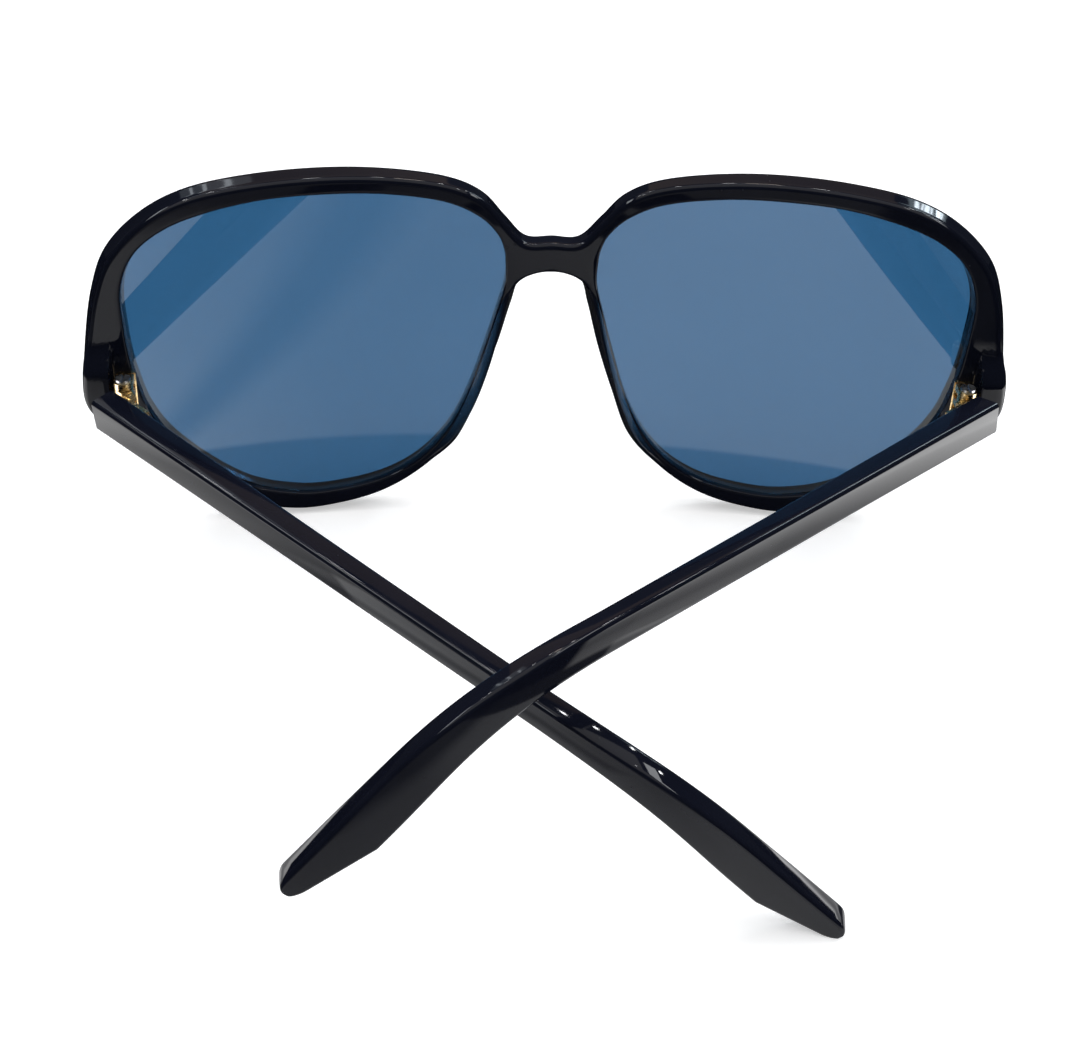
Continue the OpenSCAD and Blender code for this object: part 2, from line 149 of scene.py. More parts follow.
# How the outer wall comes in towards the back: by a share of the rim's width over the width that it
# keeps, starting at that distance from the middle, and by a swell beside the nose, from the 20th
# point of the outline to the 28th
TAPER_SHARE = 0.42
TAPER_KEEPS = 2.0
TAPER_MOST = 1.9
TAPER_OVER = 0.4
TAPER_X = 12.0
TAPER_RUN_X = 12.0
TAPER_RUN_Z = 7.0
NOSE_FROM = 20 * STEPS
NOSE_TO = 28 * STEPS
NOSE_SPLAY = 1.1
NOSE_POWER = 0.8


def curve(a, b, c, d, t):
    """A place between b and c on a smooth line through four points."""
    return b + ((c - a) * t + (2 * a - 5 * b + 4 * c - d) * t * t
                + (3 * b - a - 3 * c + d) * t ** 3) / 2


def ease(t):
    """A smooth rise from 0 to 1."""
    k = np.clip(t, 0, 1)
    return k * k * (3 - 2 * k)


def sag(x):
    """How far the curved front lies behind its middle at x."""
    return x * x / (2 * WRAP_R)


def turn(points, axis, degrees):
    """Points turned about one of the axes."""
    c, s = math.cos(math.radians(degrees)), math.sin(math.radians(degrees))
    points = np.asarray(points, float)
    a, b = (axis + 1) % 3, (axis + 2) % 3
    turned = points.copy()
    turned[..., a] = points[..., a] * c - points[..., b] * s
    turned[..., b] = points[..., a] * s + points[..., b] * c
    return turned


def stood(points):
    """Points of the front's own frame, leaned as the front rests on the table."""
    return turn(points, X, -LEAN)


# The hinge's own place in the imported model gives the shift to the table's middle
pin = next(j for j in frame["joints"] if j["name"] == "right_fold")["pos_m"]
shift = np.array(pin) / MM - stood((PIN_X, -PIN_BACK, HINGE_Z))


def to_world(points, left):
    """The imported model's frame, in metres, with nothing under the table's top."""
    points = np.asarray(points, float)
    if left:
        points = points * (-1, 1, 1)
    placed = stood(points) + shift
    placed[..., Z] = np.maximum(placed[..., Z], 0.0)
    return placed * MM


# Lines of the front
def outer_control(i):
    if i < 0:
        return outer_points[1] * (-1, 1)
    if i > LAST:
        return outer_points[LAST - 1] * (-1, 1)
    return outer_points[i]


def lens_control(i):
    return lens_points[i % (LAST + 1)]


def along(control, i, t):
    """A place on an outline, a share t of the way from its point i to the next."""
    return curve(*[control(i + j) for j in (-1, 0, 1, 2)], t)


def normals_of(points, closed):
    """Unit normals to the left of a line of points, or mirrored over x = 0 at an open line's ends."""
    if closed:
        before, after = np.roll(points, 1, 0), np.roll(points, -1, 0)
    else:
        before = np.vstack([points[1] * (-1, 1), points[:-1]])
        after = np.vstack([points[1:], points[-2] * (-1, 1)])
    d = after - before
    n = np.stack([-d[:, 1], d[:, 0]], 1)
    return n / np.linalg.norm(n, axis=1)[:, None]


def front_lines():
    """The outer line from the bridge's top round to its underside and up its middle, the lens
    opening's line, and their outward normals."""
    outer, lens = [], []
    for i in range(LAST):
        for k in range(STEPS):
            outer.append(along(outer_control, i, k / STEPS))
            lens.append(along(lens_control, i, k / STEPS))
    outer.append(outer_points[LAST])
    lens.append(lens_points[LAST])
    n_outer = normals_of(np.array(outer), False)
    top, low = outer_points[0][1], outer_points[LAST][1]
    for k in range(1, SEAM_STEPS):
        z = low + EDGE_R + (top - low - 2 * EDGE_R) * (k - 1) / (SEAM_STEPS - 2)
        outer.append(np.array([0.0, z]))
        lens.append(along(lens_control, LAST, k / SEAM_STEPS))
    lens = np.array(lens)
    return np.array(outer), n_outer, lens, normals_of(lens, True)


ring_outer, outer_normals, ring_lens, lens_normals = front_lines()
RING = len(ring_outer)


def rise(p):
    """Height of the end piece's step over the rim's back."""
    if p[0] < STEP_FOOT:
        return 0.0
    face = ease((p[0] - STEP_FOOT) / STEP_FACE)
    run = STEP_RUN * (UPPER_RUN_SHARE if p[1] > HINGE_Z else 1.0)
    return (PIN_BACK - sag(p[0])) * face * ease((STEP_HALF + run - abs(p[1] - HINGE_Z)) / run)


def wall_tapers():
    """How far the rim's outer wall comes in towards the back: most at the corners, less beside
    the nose, and not at the bridge and the end pieces."""
    raw = []
    for (x, z), lens in zip(ring_outer, ring_lens):
        width = math.hypot(x - lens[0], z - lens[1])
        share = ease((x - TAPER_X) / TAPER_RUN_X)
        share *= ease((abs(z - HINGE_Z) - STEP_HALF - STEP_RUN) / TAPER_RUN_Z)
        raw.append(share * min(max(TAPER_SHARE * (width - TAPER_KEEPS), 0.0), TAPER_MOST))
    for i in range(NOSE_FROM, NOSE_TO):
        share = (i - NOSE_FROM) / (NOSE_TO - NOSE_FROM)
        raw[i] = max(raw[i], NOSE_SPLAY * math.sin(math.pi * share) ** NOSE_POWER)
    reach = 2 * STEPS
    window = 2 * reach + 1
    padded = [0.0] * reach + raw[:SEAM_FROM] + [0.0] * (reach + RING - SEAM_FROM)
    return [min(sum(padded[i:i + window]) / window, raw[i] + TAPER_OVER) for i in range(RING)]


tapers = wall_tapers()


def quarter(r, start, end, n):
    """Offsets of a quarter round: how far in from the edge, and how far below the face."""
    return [(r * (1 - math.cos(math.radians(a))), r * (1 - math.sin(math.radians(a))))
            for a in np.linspace(start, end, n)]


def back_shares(start, end):
    """Places across the back face, closer together on the end piece's step."""
    top, foot = PLAIN_SHARES
    if end[0] < STEP_FOOT - STEP_REACH and start[0] > STEP_FOOT + 2 * STEP_FACE:
        width = start[0] - end[0]
        foot = (start[0] - STEP_FOOT) / width
        top = (start[0] - STEP_FOOT - STEP_FACE) / width
    outer_n, step_n, inner_n = BACK_FACE_COUNTS
    return [*np.linspace(0, top, outer_n)[1:], *np.linspace(top, foot, step_n)[1:],
            *np.linspace(foot, 1, inner_n)[1:-1]]


def front_profile(i):
    """Points of one section: front face from the lens out, round the edge, back face in, and the
    opening's wall."""
    seam = i > SEAM_FROM
    taper = tapers[i]
    points = []

    def outer_side(inset):
        return ring_outer[i] if seam else ring_outer[i] - outer_normals[i] * inset

    def lens_side(inset):
        return ring_lens[i] + lens_normals[i] * inset

    def add(p, q):
        points.append((p[0], -sag(p[0]) - q, p[1]))

    for inset, drop in quarter(LIP_R, 0, 90, FRONT_LIP_N):
        add(lens_side(inset), drop - RIM_T)
    start, end = lens_side(LIP_R), outer_side(OUTER_FRONT_R)
    for k in range(1, FRONT_FACE_N):
        add(start + (end - start) * k / FRONT_FACE_N, -RIM_T)
    for inset, drop in quarter(OUTER_FRONT_R, 90, 0, ROUND_N):
        add(outer_side(inset), (0 if seam else drop) - RIM_T)
    wall_front, wall_back = OUTER_FRONT_R - RIM_T, -OUTER_BACK_R
    for share in WALL_SHARES:
        p = outer_side(taper * share)
        add(p, wall_front + (wall_back - wall_front) * share + share * rise(p))
    # The back is stepped out to the hinge's plane at the end piece
    for inset, drop in quarter(OUTER_BACK_R, 0, 90, ROUND_N):
        p = outer_side(taper + inset)
        add(p, -(0 if seam else drop) + rise(p))
    start, end = outer_side(taper + OUTER_BACK_R), lens_side(LIP_R)
    for share in back_shares(start, end):
        p = start + (end - start) * share
        add(p, rise(p))
    for inset, drop in quarter(LIP_R, 90, 0, BACK_LIP_N):
        add(lens_side(inset), -drop)
    for share in OPENING_SHARES:
        add(ring_lens[i], -LIP_R - (RIM_T - 2 * LIP_R) * share)
    return points


# Meshes: how close points are joined, in metres, and the angle from which an edge is sharp
WELD = 2e-6
SHARP = math.radians(35)


def grid_faces(rows, cols, close_rows=False, skip=()):
    """Four-sided faces between rows of points, each row a closed ring."""
    faces = []
    for i in range(rows if close_rows else rows - 1):
        for j in range(cols):
            if (i, j) in skip:
                continue
            a, b = i * cols + j, i * cols + (j + 1) % cols
            c, d = ((i + 1) % rows) * cols + (j + 1) % cols, ((i + 1) % rows) * cols + j
            faces.append((a, d, c, b))
    return faces


def end_faces(rows, cols):
    """The two faces that close a row of rings."""
    return [tuple(range(cols)), tuple((rows - 1) * cols + j for j in reversed(range(cols)))]


def weld(mesh):
    """Joins points that lie on each other, and drops faces without area."""
    bm = bmesh.new()
    bm.from_mesh(mesh)
    bmesh.ops.remove_doubles(bm, verts=bm.verts, dist=WELD)
    bmesh.ops.dissolve_degenerate(bm, edges=bm.edges, dist=WELD / 2)
    bmesh.ops.recalc_face_normals(bm, faces=bm.faces)
    bm.to_mesh(mesh)
    bm.free()


def new_object(name, points, faces, look):
    mesh = bpy.data.meshes.new(name)
    mesh.from_pydata([tuple(p) for p in points], [], faces)
    mesh.materials.append(look)
    mesh.validate()
    mesh.update()
    weld(mesh)
    mesh.shade_smooth()
    mesh.set_sharp_from_angle(angle=SHARP)
    obj = bpy.data.objects.new(name, mesh)
    bpy.context.scene.collection.objects.link(obj)
    return obj


# Helpers for the materials' nodes
def add_node(tree, kind, **values):
    """A new node with its sockets or settings at these values."""
    added = tree.nodes.new(kind)
    for key, value in values.items():
        if key in added.inputs:
            added.inputs[key].default_value = value
        else:
            setattr(added, key, value)
    return added


def math_node(tree, operation, *values):
    """A sum, with numbers and other nodes' results as its values."""
    added = add_node(tree, "ShaderNodeMath", operation=operation)
    for value, socket in zip(values, added.inputs):
        if isinstance(value, (int, float)):
            socket.default_value = value
        else:
            tree.links.new(value, socket)
    return added.outputs[0]


def noise(tree, coords, scale, detail, roughness):
    added = add_node(tree, "ShaderNodeTexNoise", Scale=scale, Detail=detail, Roughness=roughness)
    tree.links.new(coords, added.inputs["Vector"])
    return added.outputs["Fac"]


def spread(tree, value, given, wanted):
    """A value brought from one range to another, and held inside it."""
    added = tree.nodes.new("ShaderNodeMapRange")
    added.inputs["From Min"].default_value, added.inputs["From Max"].default_value = given
    added.inputs["To Min"].default_value, added.inputs["To Max"].default_value = wanted
    tree.links.new(value, added.inputs["Value"])
    return added.outputs["Result"]


def fades(tree, value, steps):
    """A brightness that runs through steps of (place, brightness)."""
    total = None
    for (x0, s0), (x1, s1) in zip(steps, steps[1:]):
        if total is None:
            total = spread(tree, value, (x0, x1), (s0, s1))
        else:
            total = math_node(tree, "ADD", total, spread(tree, value, (x0, x1), (0, s1 - s0)))
    return total


# Places of the mix node's colour sockets, which share their names with its other sockets
MIX_A, MIX_B, MIX_RESULT = 6, 7, 2


def two_tone(tree, share, tones):
    added = add_node(tree, "ShaderNodeMix", data_type="RGBA")
    tree.links.new(share, added.inputs[0])
    added.inputs[MIX_A].default_value = (*tones[0], 1)
    added.inputs[MIX_B].default_value = (*tones[1], 1)
    return added.outputs[MIX_RESULT]


def bump(tree, relief, distance, before=None):
    added = add_node(tree, "ShaderNodeBump", Strength=1.0, Distance=distance)
    tree.links.new(relief, added.inputs["Height"])
    if before:
        tree.links.new(before, added.inputs["Normal"])
    return added.outputs["Normal"]


def new_material(name):
    look = bpy.data.materials.new(name)
    look.use_nodes = True
    tree = look.node_tree
    coords = tree.nodes.new("ShaderNodeTexCoord").outputs["Object"]
    return look, tree, tree.nodes["Principled BSDF"], coords


# Plastic: pattern sizes are rounds to the metre, and heights are in metres
PLASTIC_IOR = 1.28
SMEAR_SCALE = 90
PATCH_SCALE = 60
DUST_SCALE = 420.0
SMEAR_RANGE = (0.3, 0.75)
PATCH_RANGE = (0.5, 0.62)
DUST_DOT = (0.05, 0.1)
DUST_ROUGH = 0.5
WAVE_SCALE = 160
WAVE_H = 2.5e-5
GRAIN_SCALE = 1400
GRAIN_H = WAVE_H / 40


def plastic(name, tones, rough):
    """Polished moulded plastic: a slightly wavy surface with handling smears and a little dust."""
    look, tree, shader, coords = new_material(name)
    shader.inputs["IOR"].default_value = PLASTIC_IOR
    smear = noise(tree, coords, SMEAR_SCALE, detail=4, roughness=0.6)
    tree.links.new(two_tone(tree, smear, tones), shader.inputs["Base Color"])
    cells = add_node(tree, "ShaderNodeTexVoronoi", Scale=DUST_SCALE)
    tree.links.new(coords, cells.inputs["Vector"])
    dots = spread(tree, cells.outputs["Distance"], DUST_DOT, (1, 0))
    patches = spread(tree, noise(tree, coords, PATCH_SCALE, detail=2, roughness=0.5), PATCH_RANGE, (0, 1))
    dust = math_node(tree, "MULTIPLY", dots, patches)
    polish = spread(tree, smear, SMEAR_RANGE, rough)
    roughness = math_node(tree, "MULTIPLY_ADD", dust, DUST_ROUGH, polish)
    tree.links.new(roughness, shader.inputs["Roughness"])
    wave = bump(tree, noise(tree, coords, WAVE_SCALE, detail=1, roughness=0.4), WAVE_H)
    grain = bump(tree, noise(tree, coords, GRAIN_SCALE, detail=2, roughness=0.5), GRAIN_H, wave)
    tree.links.new(grain, shader.inputs["Normal"])
    return look


# Metal
LINE_SCALE = 900
LINE_RANGE = (0.3, 0.7)
LINE_H = 4e-6
TARNISH_SCALE = 500


def metal(name, tones, rough, grain):
    """Metal with fine lines, drawn out by the grain's scales, and a little tarnish."""
    look, tree, shader, coords = new_material(name)
    shader.inputs["Metallic"].default_value = 1.0
    stretch = add_node(tree, "ShaderNodeMapping", Scale=grain)
    tree.links.new(coords, stretch.inputs["Vector"])
    lines = noise(tree, stretch.outputs["Vector"], LINE_SCALE, detail=3, roughness=0.6)
    tarnish = noise(tree, coords, TARNISH_SCALE, detail=3, roughness=0.6)
    tree.links.new(two_tone(tree, tarnish, tones), shader.inputs["Base Color"])
    tree.links.new(spread(tree, lines, LINE_RANGE, rough), shader.inputs["Roughness"])
    tree.links.new(bump(tree, lines, LINE_H), shader.inputs["Normal"])
    return look


# Lens sheet
LENS_IOR = 1.6
HAZE_SCALE = 24
HAZE_RANGE = (0.3, 0.75)


def tinted_lens(name, tones, shine):
    """Clear tinted sheet with a faint cloudy haze and a neutral shine."""
    look, tree, shader, coords = new_material(name)
    shader.inputs["Transmission Weight"].default_value = 1.0
    shader.inputs["IOR"].default_value = LENS_IOR
    shader.inputs["Roughness"].default_value = 0.0
    shader.inputs["Specular Tint"].default_value = (*shine, 1)
    cloud = spread(tree, noise(tree, coords, HAZE_SCALE, detail=3, roughness=0.5), HAZE_RANGE, (0, 1))
    tree.links.new(two_tone(tree, cloud, tones), shader.inputs["Base Color"])
    return look


# Each material's darker and lighter tone
FRONT_TONES = (0.003, 0.004, 0.008), (0.006, 0.007, 0.014)
TEMPLE_TONES = (0.003, 0.004, 0.009), (0.007, 0.008, 0.015)
GOLD_TONES = (0.74, 0.52, 0.24), (0.95, 0.76, 0.44)
STEEL_TONES = (0.40, 0.41, 0.43), (0.62, 0.63, 0.65)
LENS_TONES = (0.019, 0.079, 0.168), (0.023, 0.085, 0.178)

front_black = plastic("front_black", FRONT_TONES, rough=(0.02, 0.07))
pad_black = plastic("pad_black", FRONT_TONES, rough=(0.03, 0.09))
temple_black = plastic("temple_black", TEMPLE_TONES, rough=(0.03, 0.09))
gold = metal("hinge_gold", GOLD_TONES, rough=(0.12, 0.34), grain=(1, 1, 8))
steel = metal("steel", STEEL_TONES, rough=(0.2, 0.4), grain=(1, 1, 6))
lens_tint = tinted_lens("lens_tint", LENS_TONES, shine=(0.97, 0.97, 0.96))


# Front, with its two halves joined at the bridge's middle
def front_mesh():
    profiles = np.array([front_profile(i) for i in range(RING)])
    rows, cols = profiles.shape[:2]
    half = profiles.reshape(-1, 3)
    # The outer side isn't closed along the seam
    first = FRONT_LIP_N + FRONT_FACE_N - 1
    open_cols = range(first, first + 2 * ROUND_N + len(WALL_SHARES) - 1)
    skip = {(i, j) for i in range(SEAM_FROM, rows) for j in open_cols}
    faces = grid_faces(rows, cols, True, skip)
    faces += [tuple(len(half) + v for v in reversed(f)) for f in faces]
    points = np.vstack([to_world(half, False), to_world(half, True)])
    return new_object("front", points, faces, front_black)


front = front_mesh()
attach(front, "front")
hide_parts("front_frame")

# Lenses: how far each one rises, its radii across and up, and its tilt, as its reflections show them
LENS_CURVES = {True: (1.8, 400.0, 200.0, -0.01), False: (2.0, 300.0, 165.0, 0.0)}
LENS_RING_SHARES = [1.0, 0.985, *np.linspace(0.96, 0.02, 30)]


def lens_mesh(name, left):
    """A lens curved both ways, out to the bottom of its groove."""
    edge = ring_lens + lens_normals * (GROOVE_D - LENS_FIT)
    swell, r_across, r_up, tilt = LENS_CURVES[left]
    middle = np.array([LENS_GAP / 2 + LENS_W / 2, LENS_LOW + LENS_H / 2])

    def face(p, q):
        d = p - middle
        bulge = swell - d[..., 0] ** 2 / (2 * r_across) - d[..., 1] ** 2 / (2 * r_up) - tilt * d[..., 1]
        return np.stack([p[..., 0], bulge - sag(p[..., 0]) - q, p[..., 1]], -1)

    back, ahead = -LENS_SINK, -LENS_SINK - LENS_T
    rings = [face(middle + (edge - middle) * s, back) for s in reversed(LENS_RING_SHARES)]
    rings += [face(middle + (edge - middle) * s, ahead) for s in LENS_RING_SHARES]
    points = list(np.vstack(rings))
    faces = grid_faces(len(rings), RING)
    for q, row in ((back, 0), (ahead, len(rings) - 1)):
        centre = len(points)
        points.append(face(middle, q))
        for i in range(RING):
            faces.append((centre, row * RING + i, row * RING + (i + 1) % RING))
    obj = new_object(name, to_world(points, left), faces, lens_tint)
    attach(obj, "front")
    return obj


# Pads: a section's points as shares of the rim's width and of the pad's height. They run from the
# 22nd point of the outline to the 27th
PAD_SHARES = np.array([(0.12, 0), (0.2, 0.35), (0.36, 0.75), (0.6, 1), (0.8, 0.96), (0.94, 0.7),
                       (1, 0.35), (0.92, 0)])
PAD_FROM = 22 * STEPS
PAD_TO = 27 * STEPS
PAD_FINE = 4
PAD_POWER = 1.7
PAD_INSET = 0.1
PAD_SINK = 0.8


def pad_mesh(name, left):
    """A pad that swells smoothly out of the rim's back beside the nose, with its foot in the rim."""
    last = len(PAD_SHARES) - 1
    section = [along(lambda j: PAD_SHARES[min(max(j, 0), last)], i, k / PAD_FINE)
               for i in range(last) for k in range(PAD_FINE)] + [PAD_SHARES[last]]
    points = []
    for i in range(PAD_FROM, PAD_TO + 1):
        inner, outer = ring_lens[i], ring_outer[i]
        kept = 1 - max(EDGE_R, tapers[i] + PAD_INSET) / np.linalg.norm(outer - inner)
        high = PAD_H * math.sin(math.pi * (i - PAD_FROM) / (PAD_TO - PAD_FROM)) ** PAD_POWER
        for across, up in section:
            p = inner + (outer - inner) * across * kept
            points.append((p[0], PAD_SINK - sag(p[0]) - up * (high + PAD_SINK), p[1]))
    rows, cols = PAD_TO - PAD_FROM + 1, len(section)
    faces = grid_faces(rows, cols) + end_faces(rows, cols)
    obj = new_object(name, to_world(points, left), faces, pad_black)
    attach(obj, "front")
    return obj


# Temples, in the frame of the hinge: x outward, y towards the front, z up
def bends(t):
    """How far the temple has turned down and inward at t, in radians."""
    share = ease((t - STRAIGHT_L) / BEND_L)
    return math.radians(BEND_DROP) * share, math.radians(BEND_IN) * share


def heading(t):
    """Unit direction along the temple."""
    down, inward = bends(t)
    return np.array([-math.cos(down) * math.sin(inward),
                     -math.cos(down) * math.cos(inward),
                     -math.sin(down)])


def outward(t):
    """Unit direction out of the temple's outer face."""
    inward = bends(t)[1]
    return np.array([math.cos(inward), -math.sin(inward), 0])


def upward(t):
    """Unit direction out of the temple's upper edge."""
    down, inward = bends(t)
    return np.array([-math.sin(down) * math.sin(inward),
                     -math.sin(down) * math.cos(inward),
                     math.cos(down)])


def cap_share(t):
    """1 along the temple, then down the tip's round."""
    if t <= CAP_END:
        return 1.0
    return END_SHARE + (1 - END_SHARE) * math.sqrt(max(0, 1 - ((t - CAP_END) / CAP_L) ** 2))


def thickness(t):
    places = [0, STRAIGHT_L, HEEL_AT, TEMPLE_L]
    return cap_share(t) * np.interp(t, places, [ROOT_T, MIDDLE_T, TIP_T, TIP_T])


def height(t):
    """How tall the temple is at t, before the tip's round."""
    if t < HEEL_AT:
        return (ROOT_H + (MIDDLE_H - ROOT_H) * ease(t / (ROOT_SHARE * TEMPLE_L))
                + (HEEL_H - MIDDLE_H) * ease((t - STRAIGHT_L) / (HEEL_AT - STRAIGHT_L)))
    return HEEL_H + (TIP_H - HEEL_H) * (t - HEEL_AT) / (TEMPLE_L - HEEL_AT)


def top_edge(t):
    """How far the upper edge lies over the temple's middle line."""
    return height(min(t, STRAIGHT_L)) / 2


# How finely a temple is drawn, in millimetres, degrees and points
FIRST_STATION = 2.5
STRAIGHT_STEP = 3.0
BEND_STEP = 1.0
HEEL_OFFSETS = (-0.8, -0.4, 0, 0.4, 0.8)
HEEL_CLEAR = 0.9
BEVEL_START = 2
BEVEL_N = 7
CAP_ANGLES = (15, 30, 45, 58, 70, 80, 87, 90)
LINE_STEP = 0.5
CORNER_N = 6
SECTION_N = 4 * CORNER_N
LEAST_EDGE = 0.1
BUTT_ROUND = 0.25
BUTT_SHARES = (1, 0.45, 0.12, 0)


def temple_stations():
    """Places along a temple, closer together in the bend, at the heel and round the tip."""
    places = [*np.arange(FIRST_STATION, STRAIGHT_L, STRAIGHT_STEP)]
    places += [*np.arange(STRAIGHT_L, HEEL_AT - HEEL_CLEAR, BEND_STEP)]
    places += [HEEL_AT + offset for offset in HEEL_OFFSETS]
    places += [*np.linspace(HEEL_AT + BEVEL_START, CAP_END, BEVEL_N)]
    places += [CAP_END + CAP_L * math.sin(math.radians(a)) for a in CAP_ANGLES]
    return places


def middle_line(places):
    """The temple's route at each place, summed up along its heading."""
    p, at, route = np.array([PIN_TO_FACE + ROOT_T, ROOT_SPARE, 0.0]), 0.0, []
    for t in places:
        n = max(1, int((t - at) / LINE_STEP))
        for k in range(n):
            a, b = at + (t - at) * k / n, at + (t - at) * (k + 1) / n
            p = p + (heading(a) + 4 * heading((a + b) / 2) + heading(b)) * (b - a) / 6
        at = t
        route.append(p.copy())
    return route


stations = temple_stations()
route = middle_line(stations)


def temple_section(t, inset=0.0):
    """Round-cornered section of a temple at t, as offsets outward and upward."""
    half = cap_share(t) * height(t) / 2
    mid = top_edge(t) - height(t) / 2
    high, low = mid + half - inset, mid - half + inset
    edge = max(TEMPLE_EDGE * cap_share(t) - inset / 2, LEAST_EDGE)
    inner, outer = -thickness(t) + inset, -inset
    corners = ((outer - edge, high - edge), (inner + edge, high - edge),
               (inner + edge, low + edge), (outer - edge, low + edge))
    section = []
    for quadrant, (x, z) in enumerate(corners):
        for k in range(CORNER_N):
            a = math.radians(90 * quadrant + 90 * k / (CORNER_N - 1))
            section.append((x + edge * math.cos(a), z + edge * math.sin(a)))
    return section


def leg_rings(set_down, twist):
    """Rings of points of one temple, in the frame of the hinge after its set and twist."""
    def placed(points):
        return turn(turn(points, Y, twist), X, -set_down)

    def ring(t, middle, inset=0.0):
        return placed([middle + x * outward(t) + z * upward(t) for x, z in temple_section(t, inset)])

    # The butt end is square to the front, so its rings slide along the temple to that plane
    butt = []
    along_temple = placed(heading(0.0))
    for share in BUTT_SHARES:
        inset = BUTT_ROUND * share
        points = ring(stations[0], route[0], inset)
        goal = -BUTT_GAP - math.sqrt(BUTT_ROUND ** 2 - inset ** 2)
        butt.append(points + ((goal - points[:, Y]) / along_temple[Y])[:, None] * along_temple)
    return butt + [ring(t, middle) for t, middle in zip(stations, route)]


def hung(points, fold):
    """A temple's points at its hinge, folded by so many degrees."""
    return turn(points, Z, -fold) + (PIN_X, -PIN_BACK, HINGE_Z)


def left_low(set_down):
    """The left temple's lowest point at that set, in the frame that the shift starts from."""
    points = []
    for t, middle in zip(stations, route):
        low = top_edge(t) - height(t) / 2 - cap_share(t) * height(t) / 2
        edge, wide = TEMPLE_EDGE * cap_share(t), thickness(t)
        corners = ((-edge, low), (edge - wide, low), (-wide, low + edge), (0, low + edge))
        points += [middle + x * outward(t) + z * upward(t) for x, z in corners]
    return stood(hung(turn(turn(points, Y, TWIST_LEFT), X, -set_down), FOLD_LEFT))[:, Z].min()


SET_MOST = 12.0
HALVINGS = 24


def settle():
    """The set at which the left temple's tip reaches the table with its resting flat."""
    low, high = -SET_MOST, SET_MOST
    for _ in range(HALVINGS):
        middle = (low + high) / 2
        if left_low(middle) + REST_FLAT > -shift[Z]:
            high = middle
        else:
            low = middle
    return (low + high) / 2


SET_LEFT = settle()


def temple_mesh(name, left):
    if left:
        points = hung(np.vstack(leg_rings(SET_LEFT, TWIST_LEFT)), FOLD_LEFT)
    else:
        points = hung(np.vstack(leg_rings(SET_RIGHT, -TWIST_RIGHT)), FOLD_RIGHT)
    rows = len(points) // SECTION_N
    faces = grid_faces(rows, SECTION_N) + end_faces(rows, SECTION_N)
    obj = new_object(name, to_world(points, left), faces, temple_black)
    return obj


for left, word in ((True, "left"), (False, "right")):
    glass = lens_mesh("tinted_lens_" + word, left)
    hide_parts("lens_" + word)
    pad = pad_mesh("pad_" + word, left)
    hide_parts("nose_pad_" + word)
    leg = temple_mesh("arm_" + word, left)
    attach(leg, word + "_temple")
    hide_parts("temple_" + word)

# The hinges' leaves and screws and the temples' cores show as the solids that they are
METALS = {"leaf": gold, "screw": steel, "core": steel}
for name, obj in frame["nodes"].items():
    for word, finish in METALS.items():
        if word in name:
            for slot in obj.material_slots:
                slot.material = finish

# Table: to the eye and through the lenses its own light adds to its white, by the distance from
# its middle. Sizes are in metres
TABLE_HALF = 3
TABLE_DROP = 2e-5
TABLE_WHITE = 0.8
OWN_LIGHT = ((0.35, 0.5), (1.2, 1.0))
# The share of the painted reflection's brightness that reflections see
PAINTED_REFLECTION_SHARE = 0.55

# Painted glow that only reflections see on the table, as (place in metres, brightness): a painted pool of
# light beside the hinges
RIGHT_PAINTED_GLOW_X = ((0.058, 0), (0.0635, 3.0), (0.075, 2.7), (0.083, 2.2), (0.093, 3.0), (0.104, 4.8),
                (0.115, 6.8), (0.126, 9.0), (0.132, 11.5), (0.16, 12.0), (0.2, 0))
RIGHT_PAINTED_GLOW_Y = ((-0.055, 0), (-0.05, 1), (0.045, 1), (0.05, 0))
LEFT_PAINTED_GLOW_X = ((-0.2, 0), (-0.16, 7.5), (-0.107, 5.8), (-0.099, 4.0), (-0.093, 2.75), (-0.086, 2.4),
               (-0.074, 2.1), (-0.063, 1.1), (-0.055, 0.2), (-0.045, 0))
LEFT_PAINTED_GLOW_Y = ((-0.05, 0), (-0.02, 1), (0.045, 1), (0.05, 0))

# Painted shade that only reflections see on the table: a painted shadow of the rims before them, darker
# far back, and darker towards the sides
PAINTED_RIM_SHADOW_Y = ((-0.0062, 1), (-0.0044, 0.3), (0.018, 0.18), (0.0215, 0.15), (0.026, 0.04), (0.05, 0.02))
PAINTED_FAR_SHADE_Y = ((-0.12, 0.3), (-0.1, 1))
PAINTED_SHADE_ACROSS_X = ((-0.045, 1.2), (-0.037, 0.95), (-0.028, 0.74), (-0.02, 0.72), (0.0, 0.72), (0.02, 1.0))
PAINTED_SIDE_SHADE_X = ((0.0625, 1), (0.066, 0.15))

# Painted shade that only reflections see: a dark corner at the right, and a soft painted shadow line
# across the left, by its slopes and offset
PAINTED_CORNER_SHADE_X = ((0.0435, 1), (0.045, 0.1))
PAINTED_CORNER_SHADE_Y = ((-0.0345, 0), (-0.0335, 1))
PAINTED_LINE_SLOPES = (0.763, 0.648)
PAINTED_LINE_OFFSET = 0.043
OFF_PAINTED_LINE = ((0.0008, 0.55), (0.0038, 1))
PAINTED_LINE_END_X = ((-0.018, 0), (-0.01, 1))


